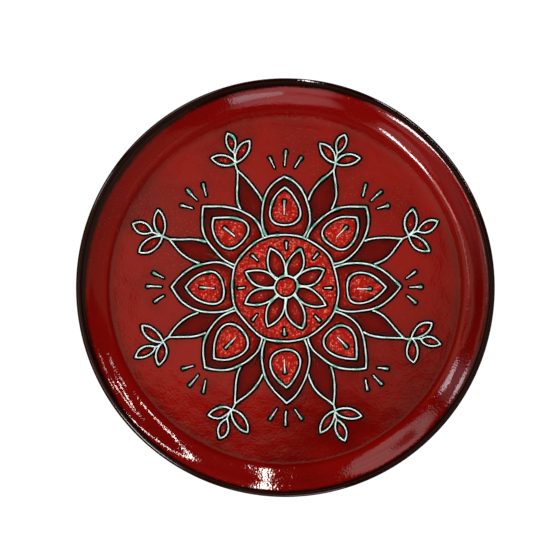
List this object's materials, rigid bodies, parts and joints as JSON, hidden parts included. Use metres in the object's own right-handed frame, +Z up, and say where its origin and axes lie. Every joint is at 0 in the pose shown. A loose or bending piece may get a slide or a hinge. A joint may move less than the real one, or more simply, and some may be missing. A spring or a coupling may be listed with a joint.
{
  "type": "glazed ceramic plate",
  "caption": "Round glazed serving plate with a low curved wall, a rolled dark rim, a low foot ring and raised trailed ornament on its floor.",
  "frame": {"origin": "centre of the plate's footprint, on the plane that it stands on", "axes": "+Z up along the plate's axis, out of its hollow side; +X to the right and +Y away as the plate is looked down on"},
  "size_m": [0.3, 0.3, 0.0215],
  "materials": {
    "red_glaze": "gloss",
    "speckled_glaze": "gloss",
    "dark_glaze": "gloss",
    "trailed_slip": "gloss",
    "bare_clay": "matte"
  },
  "bodies": {
    "root": {"plate": "red_glaze"}
  },
  "joints": []
}
